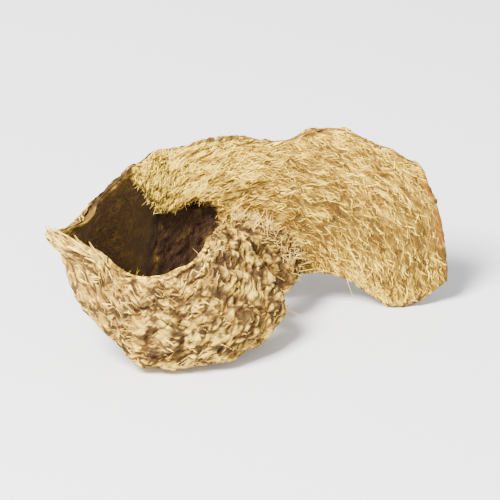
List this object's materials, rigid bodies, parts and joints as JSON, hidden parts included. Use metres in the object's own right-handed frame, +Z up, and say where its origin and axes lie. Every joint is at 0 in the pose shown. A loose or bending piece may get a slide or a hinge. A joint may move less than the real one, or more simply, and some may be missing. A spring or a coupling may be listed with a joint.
{
  "type": "dried ginger slice",
  "caption": "Dried split slice of ginger root: a broad flap with a fibrous cut face and a bark-covered end curled round to meet it.",
  "frame": {"origin": "under the middle of the bounding box, on the surface that the slice rests on", "axes": "+X along the slice towards the flap's free end, +Y from the curl at the front to the flap's bark at the back, +Z up"},
  "size_m": [0.0668, 0.0372, 0.03],
  "materials": {
    "dried_ginger": "dry, matt and fibrous: pale tan cut face, greyish brown wrinkled bark"
  },
  "bodies": {
    "root": {"ginger_slice": "dried_ginger"}
  },
  "joints": []
}
